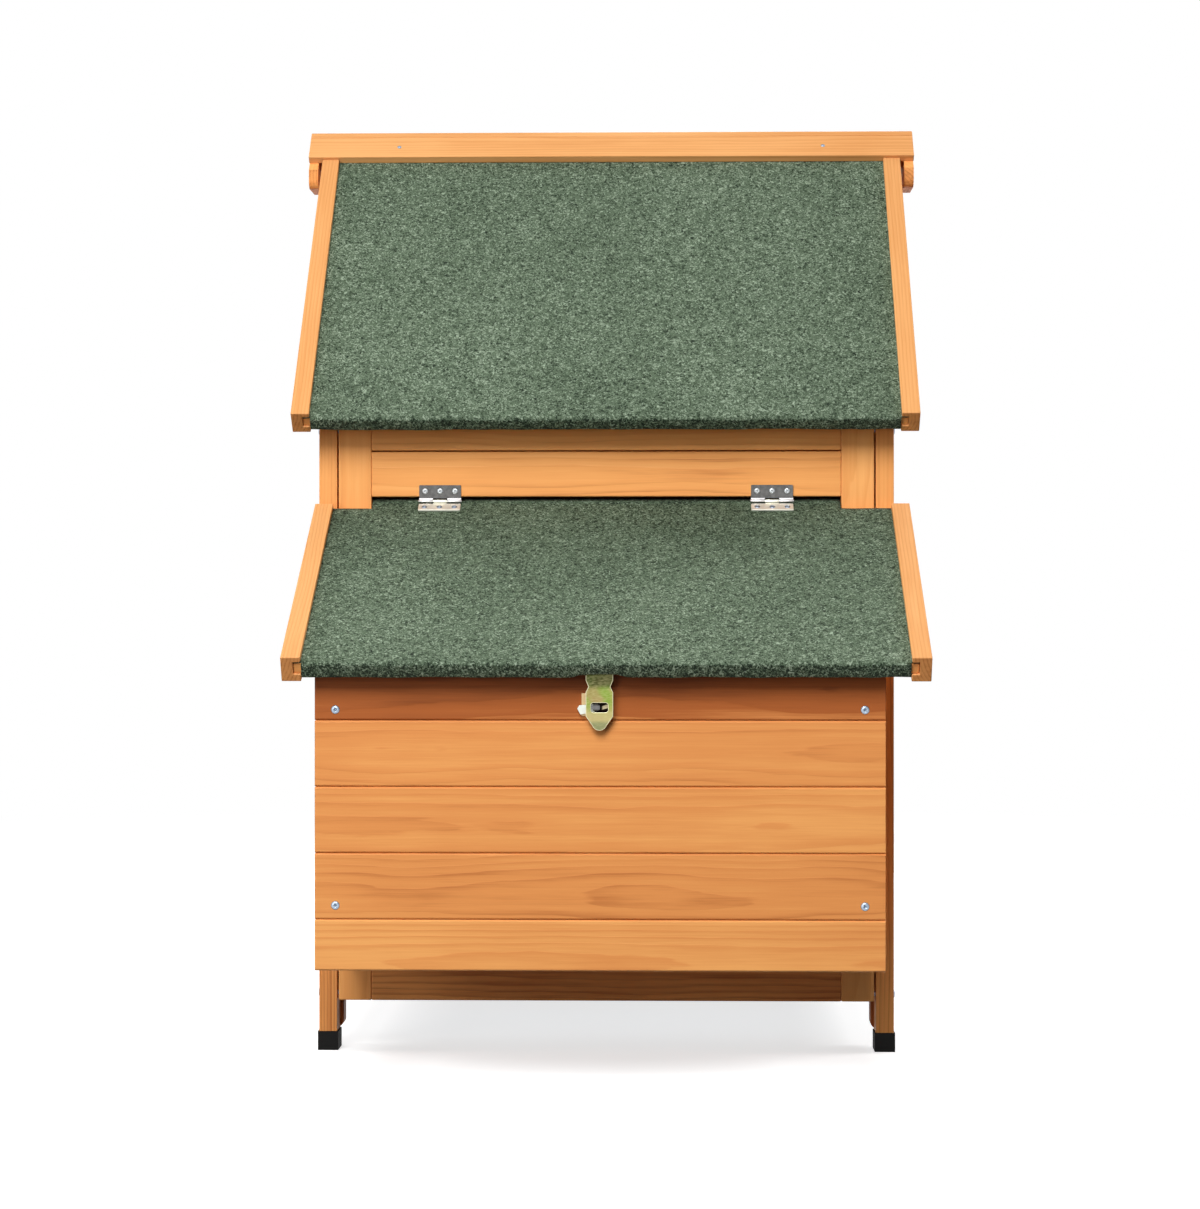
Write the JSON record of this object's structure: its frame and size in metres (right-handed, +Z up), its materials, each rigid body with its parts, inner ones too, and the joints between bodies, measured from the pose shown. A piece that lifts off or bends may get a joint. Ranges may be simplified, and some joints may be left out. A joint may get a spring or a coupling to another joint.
{
  "type": "chicken coop with nest box and run",
  "caption": "Small stained-fir chicken coop with felted gable roof, hinged nest-box lid, side door, slide-out tray and a mesh run.",
  "frame": {"origin": "on the ground under the middle of the whole coop, run included", "axes": "+X to the right as seen from the nest box, +Y from the nest box towards the far end of the run, +Z up"},
  "size_m": [0.65, 1.6362, 0.958],
  "materials": {
    "fir_rail": "stained, satin",
    "fir_board": "stained, satin",
    "fir_inner": "stained, matt",
    "green_felt": "mineral felt, rough",
    "boot_rubber": "matt",
    "zinc": "bright zinc plate",
    "yellow_zinc": "yellow passivated zinc plate",
    "galvanised": "galvanised, dull"
  },
  "bodies": {
    "root": {"legs": "fir_rail", "corner_posts": "fir_inner", "rubber_boots": "boot_rubber", "front_stiles": "fir_rail", "front_rails": "fir_rail", "gable_rails": "fir_rail", "left_wall_rail": "fir_rail", "left_wall_boards": "fir_board", "right_door_surround": "fir_rail", "right_wall_boards": "fir_board", "rear_frame": "fir_rail", "rear_wall_boards": "fir_board", "pop_door_guides": "fir_rail", "tray_runners": "fir_inner", "perch": "fir_rail", "perch_cleats": "fir_rail", "roof_boards": "fir_board", "roof_felt_front": "green_felt", "roof_felt_rear": "green_felt", "roof_rails": "fir_rail", "ridge_cap_boards": "fir_rail", "ridge_end_plates": "fir_rail", "cap_nails": "zinc", "nest_front_boards": "fir_board", "nest_side_boards": "fir_board", "nest_battens": "fir_inner", "nest_floor": "fir_inner", "nest_divider": "fir_inner", "nest_sill": "fir_rail", "staple_plate": "zinc", "hinge_fixed_leaves": "zinc", "hinge_pins": "zinc", "hinge_screws": "zinc", "frame_screws": "zinc", "run_side_frames": "fir_rail", "run_end_frame": "fir_rail", "run_top_frame": "fir_rail", "run_side_mesh": "galvanised", "run_end_mesh": "galvanised", "run_top_mesh": "galvanised"},
    "nest_lid": {"lid_board": "fir_board", "lid_felt": "green_felt", "lid_rails": "fir_rail", "lid_hinge_leaves": "zinc", "lid_hinge_screws": "zinc", "hasp_leaf": "yellow_zinc"},
    "hasp": {"hasp_strap": "yellow_zinc"},
    "staple": {"turn_staple": "zinc"},
    "tray": {"tray_pan": "galvanised", "tray_front": "fir_rail"},
    "sliding_pop_door": {"pop_door": "fir_board"},
    "house_door": {"house_door_frame": "fir_rail", "house_door_boards": "fir_board", "house_door_hinge_leaves": "zinc"},
    "house_button": {"house_door_button": "fir_rail"},
    "run_door": {"run_door_frame": "fir_rail", "run_door_mesh": "galvanised", "run_door_hinge_leaves": "zinc"},
    "run_button": {"run_door_button": "fir_rail"}
  },
  "joints": [
    {"name": "lid_lift", "type": "hinge", "parent": "root", "child": "nest_lid", "pos_m": [0, -0.54013, 0.55], "axis": [-1, 0, 0], "range_deg": [0, 80]},
    {"name": "hasp_swing", "type": "hinge", "parent": "nest_lid", "child": "hasp", "pos_m": [0, -0.79463, 0.38821], "axis": [-1, 0, 0], "range_deg": [0, 50]},
    {"name": "staple_turn", "type": "hinge", "parent": "root", "child": "staple", "pos_m": [-0.0034, -0.78913, 0.3522], "axis": [0, -1, 0], "range_deg": [0, 90]},
    {"name": "tray_slide", "type": "slide", "parent": "root", "child": "tray", "axis": [1, 0, 0], "range_m": [0, 0.4]},
    {"name": "pop_door_slide", "type": "slide", "parent": "root", "child": "sliding_pop_door", "axis": [0, 0, 1], "range_m": [0, 0.25]},
    {"name": "house_door_swing", "type": "hinge", "parent": "root", "child": "house_door", "pos_m": [0.2905, -0.48438, 0.304], "axis": [0, 0, -1], "range_deg": [0, 105]},
    {"name": "house_button_turn", "type": "hinge", "parent": "root", "child": "house_button", "pos_m": [0.2925, -0.19063, 0.304], "axis": [1, 0, 0], "range_deg": [0, 90]},
    {"name": "run_door_swing", "type": "hinge", "parent": "root", "child": "run_door", "pos_m": [0.2905, 0.37112, 0.305], "axis": [0, 0, 1], "range_deg": [0, 110]},
    {"name": "run_button_turn", "type": "hinge", "parent": "root", "child": "run_button", "pos_m": [0.2925, -0.02813, 0.305], "axis": [1, 0, 0], "range_deg": [0, 90]}
  ]
}
